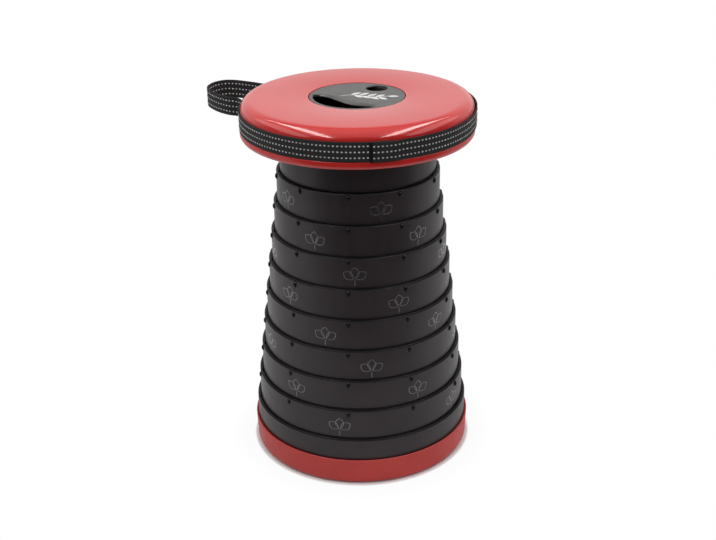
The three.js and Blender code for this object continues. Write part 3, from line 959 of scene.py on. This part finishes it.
def strapBand():
    section = webbingSection()
    build = bmesh.new()
    layer = build.loops.layers.uv.new("strapRun")
    runs, columns = {}, []
    count = int(strapLength / strap["step"])
    for i in range(count + 1):
        distance = strapLength * i / count
        place, out, up, _ = strapFrame(distance)
        squeeze = strap["endThin"] if i in (0, count) else 1.0  # the cut ends are melted thin
        columns.append([build.verts.new((place + out * o * squeeze + up * u) * mm) for o, u in section])
        runs.update((vert, (distance, u)) for vert, (o, u) in zip(columns[-1], section))
    addSkin(build, columns)
    for face in build.faces:
        for loop in face.loops:
            loop[layer].uv = runs[loop.vert]
    finished(fromMesh("strapWebbing", build), "webbing", "seat", ["strap"], crisp=50)


def strapStitches():
    build = bmesh.new()
    surface = strap["thickness"] / 2 - strap["channel"]
    size = (stitch["length"], stitch["width"], stitch["height"], stitch["sink"], facets["stitch"])
    low, high = stitch["onLoop"]
    distance = strapLength - stitch["last"]
    while distance > lapLength + stitch["first"]:
        place, out, up, travel = strapFrame(distance)
        share = stations[int(distance / strap["step"])][1]
        for row in stitch["rows"]:
            addDome(build, place + out * surface + up * row, (out, up, travel), *size)
            if low < share < high:
                addDome(build, place - out * surface + up * row, (-out, up, travel), *size)
        distance -= stitch["pitch"]
    finished(fromMesh("strapStitches", build), "stitchGrey", "seat", crisp=60)


# The end on top is cut hot: a smooth black edge across the webbing, partly the melted end and partly painted
# shadow where that end steps down onto the strap below
def strapMeltAndShadow():
    half, thick = strap["width"] / 2 + melt["over"], strap["thickness"] / 2
    proud, flank, corner = thick + melt["proud"], thick * melt["flank"], half - melt["corner"]
    side = ((-thick, -half), (flank, -half), (proud, -corner))
    section = side + tuple((out, -up) for out, up in side[::-1])
    build = bmesh.new()
    columns = []
    for back, squeeze in meltProfile:
        place, out, up, travel = strapFrame(strapLength - hair - max(back, 0))
        place -= travel * min(back, 0)
        columns.append([build.verts.new((place + out * (o * squeeze) + up * u) * mm) for o, u in section])
    addSkin(build, columns)
    finished(fromMesh("strapCutEnd", build), "meltAndPaintedShadow", "seat")


strapBand()
strapStitches()
strapMeltAndShadow()
print("strap made")

# Prints: a plain leaf motif in fine lines
leaf = dict(
    width=20.0, height=22.5, line=1.0, thick=0.3, proud=0.07, bead=0.06, fan=52, foot=0.1, reach=0.62,
    stemFoot=0.68, blunt=0.8, steps=10,
)
ringMotifs = dict(rings=(2, 3, 4, 5, 6, 7, 8, 9), count=5, phase=-75, shift=27, drop=20.0)
panelMotif = dict(
    start=(-19, 1), end=(35, -4), bow=4.0, stem=1.3, leafLength=14.5, leafWidth=6.4,
    pairs=(0.2, 0.38, 0.56, 0.74), stagger=0.07, tilt=42, blunt=0.9, steps=11, stemSteps=24,
)
bead = ((1, 0), (0.8, 0.8), (0, 1), (-0.8, 0.8), (-1, 0))  # a line's top: shares of half width and height


# Three leaves in outline that fan out from one stem
def leafLines():
    width, height, steps = leaf["width"], leaf["height"], leaf["steps"]
    lines = []
    for turn in (-leaf["fan"], 0, leaf["fan"]):
        slant = Matrix.Rotation(radians(-turn), 2)
        for side in (-1, 1):
            points = []
            for share in (k / steps for k in range(steps + 1)):
                half = width / 4 * sin(pi * share) ** leaf["blunt"]
                point = Vector((side * half, height * (leaf["foot"] + leaf["reach"] * share)))
                points.append(slant @ point - Vector((0, height / 3)))
            lines.append(points)
    lines.append([(0, -height * leaf["stemFoot"]), (0, -height / 3)])
    return lines


# A line of the drawing as a low rounded bead on a surface that place() gives
def addLine(build, points, width, place, proud):
    thick = leaf["thick"]
    section = [(1, -thick)] + [(share, proud * up) for share, up in bead] + [(-1, -thick)]
    columns = []
    for i, point in enumerate(points):
        before = Vector(points[max(i - 1, 0)])
        after = Vector(points[min(i + 1, len(points) - 1)])
        run = (after - before).normalized()
        side = Vector((-run.y, run.x)) * width / 2
        places = [place(Vector(point) + side * share, depth) for share, depth in section]
        columns.append([build.verts.new(spot) for spot in places])
    addSkin(build, columns)


def ringPrints():
    for row, number in enumerate(ringMotifs["rings"]):
        radius = ringRadius(number)
        middle = rimHeight(number) - ringMotifs["drop"]
        build = bmesh.new()
        for angle in evenAngles(ringMotifs["count"], ringMotifs["phase"] + ringMotifs["shift"] * row):
            def place(point, depth):
                x, y = onCircle(radius + depth, angle + degrees(point.x / radius))
                return Vector((x, y, middle + point.y)) * mm
            for line in leafLines():
                addLine(build, line, leaf["line"], place, leaf["bead"])
        piece = fromMesh(f"leafPrint{number}", build)
        finished(piece, "ringPrint", f"section_{number}", crisp=60)


# A sprig: a waved stem with pairs of leaves and one leaf at its end
def panelPrint():
    build = bmesh.new()
    start, end = Vector(panelMotif["start"]), Vector(panelMotif["end"])
    run = (end - start).normalized()
    side = Vector((-run.y, run.x))
    stem, steps, stemSteps = panelMotif["stem"], panelMotif["steps"], panelMotif["stemSteps"]

    def place(point, depth):
        return Vector((point.x, point.y, panel["top"] + depth)) * mm

    def onStem(share):
        return start.lerp(end, share) + side * panelMotif["bow"] * sin(2 * pi * share)

    def leafAt(share, turn):
        along = run * cos(turn) + side * sin(turn)
        foot = onStem(share) + along * (stem if turn else 0)
        across = Vector((-along.y, along.x))
        outline = []
        for sign in (1, -1):
            for k in range(steps):
                t = k / steps if sign > 0 else 1 - k / steps
                half = panelMotif["leafWidth"] / 2 * sin(pi * t) ** panelMotif["blunt"]
                outline.append(foot + along * (panelMotif["leafLength"] * t) + across * (sign * half))
        depths = (leaf["proud"] - leaf["thick"], leaf["proud"])
        addSkin(build, [[build.verts.new(place(point, depth)) for point in outline] for depth in depths])

    stemPoints = [onStem(k / stemSteps) for k in range(stemSteps + 1)]
    addLine(build, stemPoints, stem, place, leaf["proud"])
    tilt = radians(panelMotif["tilt"])
    for share in panelMotif["pairs"]:
        leafAt(share, tilt)
        leafAt(share + panelMotif["stagger"], -tilt)
    leafAt(1, 0)
    finished(fromMesh("leafPrintPanel", build), "panelPrint", "seat")


ringPrints()
panelPrint()
print("prints made")

# Studio, in metres
studio = dict(
    floor=9.0, nearAt=-0.9, farAt=-0.12, lean=(-0.2, 1.0, 0), shadow=(0.1375, 0.1415, 0.18),
    contact=0.93, back=1.0, front=0.16, above=0.42, depths=(-0.1, 0.55), heights=(0.45, 0.85),
    lampReach=1.3, halvings=40,
)
# The floor's dark tone in front is painted shade
floorPaintedShadeLook = dict(dark=(0.10, 0.10, 0.10), light=(0.86, 0.86, 0.86), evenRoughness=0.9, specular=0.0)
# The fills don't show in the gloss, which gets its bright lines from the bows instead
lamps = dict(
    frontFill=dict(middle=(1.1, -1.3, 1.75), along=(0, 0, 1), size=(1.2, 1.2), level=1.6),
    sideFill=dict(middle=(1.7, -0.6, 0.6), along=(0, 0, 1), size=(0.9, 0.9), level=1.0),
    topFill=dict(middle=(0.5, -0.2, 2.1), along=(0, 1, 0), size=(1.0, 1.4), level=2.8),
)
# Pixels of the photograph along the streaks on the seat's shoulder
streaks = dict(
    bright=((266, 120), (275, 122), (285, 124.8), (295, 127.6), (305, 130.5), (315, 133.5), (325, 136.5)),
    paleLeft=((305, 136), (299.6, 134), (293, 132), (287, 130), (280, 127.2), (272.4, 124), (264, 120)),
    paleRight=((408, 136.5), (415, 134.8), (423, 132), (433, 128), (443, 124), (453, 120), (460, 116.5)),
)
seatMiddle = Vector((0, 0, seat["top"] * mm))


# Where a lamp stands, on the right side, to be mirrored in the seat's shoulder at a pixel
def mirroredAt(pixel):
    wide, high = view["pixels"]
    across, along = seat["shoulderWidth"], seat["shoulderHeight"]
    eye = Vector(view["place"])
    sight = Vector((pixel[0] - wide / 2, high / 2 - pixel[1], -view["lens"] / view["sensor"] * wide))
    sight = (viewTurn() @ sight).normalized()
    near, far = 0.0, (seat["top"] - along - eye.z) / sight.z
    for _ in range(studio["halvings"]):
        middle = (near + far) / 2
        place = eye + sight * middle
        reach = max(place.xy.length - seat["radius"] + across, 0) / across
        rise = (place.z - seat["top"] + along) / along
        near, far = (middle, far) if hypot(reach, rise) > 1 else (near, middle)
    normal = (place.xy.normalized() * reach / across).to_3d() + Vector((0, 0, rise / along))
    onward = sight.reflect(normal)
    place = place * mm - seatMiddle
    ahead = place.dot(onward)
    run = sqrt(ahead ** 2 - place.length_squared + studio["lampReach"] ** 2) - ahead
    place += onward * run + seatMiddle
    return Vector((abs(place.x), place.y, place.z))


# Long bowed lamps beside the seat and one card over it
bows = dict(
    brightBow=dict(
        sides=(-1, 1), level=14.0, widths=(0.03, 0.05, 0.11, 0.17, 0.20, 0.22, 0.16, 0.03),
        middles=[mirroredAt(pixel) for pixel in streaks["bright"]] + [(0.450, -1.180, 0.750)],
    ),
    paleBow=dict(
        sides=(-1, 1), level=2.2, widths=(0.22, 0.42, 0.52, 0.54, 0.52, 0.46, 0.30),
        middles=[
            (mirroredAt(left) + mirroredAt(right)) / 2
            for left, right in zip(streaks["paleLeft"], streaks["paleRight"])
        ],
    ),
    softCard=dict(
        sides=(1,), level=1.0, widths=(3.6, 3.6, 3.6, 3.6, 3.6),
        middles=[(0, -1.75, 1.45), (0, -1.35, 2.00), (0, -0.70, 2.40), (0, 0.20, 2.50), (0, 1.00, 2.20)],
    ),
)


# Pale floor, painted darker in front as painted shade, so that the gloss reflects a dark floor there; to the
# camera it is white, but for the shadow close round the base
def makeFloor():
    build = bmesh.new()
    bmesh.ops.create_circle(build, cap_ends=True, radius=studio["floor"], segments=facets["floor"])
    floor = fromMesh("studioFloor", build)
    material, tree = startMaterial("paleFloor")
    place = addNode(tree, "ShaderNodeTexCoord").outputs["Object"]
    depth = mathFrom(tree, "DOT_PRODUCT", place, studio["lean"], kind="ShaderNodeVectorMath")
    tone = rangeFrom(tree, depth, studio["nearAt"], studio["farAt"], 0, 1)
    shader = fillShader(tree, floorPaintedShadeLook, {"Base Color": rampFrom(tree, tone, floorPaintedShadeLook, 0, 1)})
    reach = mathFrom(tree, "LENGTH", place, kind="ShaderNodeVectorMath")
    start, edge, end = studio["shadow"]
    contact = rangeFrom(tree, reach, start, edge, 0, studio["contact"])
    fade = rangeFrom(tree, reach, edge, end, 0, 1 - studio["contact"])
    toCamera = addNode(tree, "ShaderNodeLightPath").outputs["Is Camera Ray"]
    share = mathFrom(tree, "MULTIPLY", toCamera, mathFrom(tree, "ADD", contact, fade))
    glow = addNode(tree, "ShaderNodeEmission", Strength=1.0).outputs["Emission"]
    mixed = addNode(tree, "ShaderNodeMixShader", share, shader.outputs["BSDF"], glow)
    toSurface(tree, mixed.outputs["Shader"])
    floor.data.materials.append(material)


# White to the camera; for the rest white behind and at the sides, dim in front and above
def makeWorld():
    world = bpy.data.worlds.new("studioWorld")
    bpy.context.scene.world = world
    world.use_nodes = True
    tree = world.node_tree
    place = addNode(tree, "ShaderNodeTexCoord").outputs["Generated"]
    split = addNode(tree, "ShaderNodeSeparateXYZ", place).outputs
    depth = rangeFrom(tree, split["Y"], *studio["depths"], studio["front"], studio["back"])
    height = rangeFrom(tree, split["Z"], *studio["heights"], 1.0, studio["above"])
    toCamera = addNode(tree, "ShaderNodeLightPath").outputs["Is Camera Ray"]
    level = mathFrom(tree, "MAXIMUM", toCamera, mathFrom(tree, "MULTIPLY", depth, height))
    sky = tree.nodes["Background"].inputs
    feed(tree, sky["Strength"], level)
    feed(tree, sky["Color"], (1, 1, 1, 1))


# A lit panel that faces the seat, with its first side along a direction
def softbox(name, look, side):
    lamp = bpy.data.lights.new(name, "AREA")
    lamp.shape = "RECTANGLE"
    lamp.size, lamp.size_y = look["size"]
    lamp.energy = look["level"] * pi * lamp.size * lamp.size_y
    light = newObject(name, lamp)
    light.visible_glossy = False
    middle = Vector(look["middle"]) * Vector((side, 1, 1))
    along = Vector(look["along"]) * Vector((side, 1, 1))
    back = (middle - seatMiddle).normalized()
    across = (along - back * along.dot(back)).normalized()
    turn = Matrix((across, back.cross(across), back)).transposed().to_4x4()
    light.matrix_world = Matrix.Translation(middle) @ turn


# A lit band that only the gloss sees
def bowedLamp(name, look, side):
    build = bmesh.new()
    middles = [Vector(middle) * Vector((side, 1, 1)) for middle in look["middles"]]
    pairs = []
    for i, (middle, width) in enumerate(zip(middles, look["widths"])):
        run = middles[min(i + 1, len(middles) - 1)] - middles[max(i - 1, 0)]
        across = run.cross(middle - seatMiddle).normalized() * width / 2
        pairs.append((build.verts.new(middle - across), build.verts.new(middle + across)))
    for (a, b), (c, d) in zip(pairs, pairs[1:]):
        build.faces.new((a, b, d, c))
    band = fromMesh(name, build)
    material, tree = startMaterial(name)
    toSurface(tree, addNode(tree, "ShaderNodeEmission", Strength=look["level"]).outputs["Emission"])
    band.data.materials.append(material)
    band.visible_camera = band.visible_diffuse = band.visible_shadow = False


makeFloor()
makeWorld()
for name, look in lamps.items():
    softbox(f"{name}Left", look, -1)
    softbox(f"{name}Right", look, 1)
for name, look in bows.items():
    for side in look["sides"]:
        bowedLamp(name, look, side)
bpy.context.scene.view_settings.view_transform = "Standard"
print("studio lit")
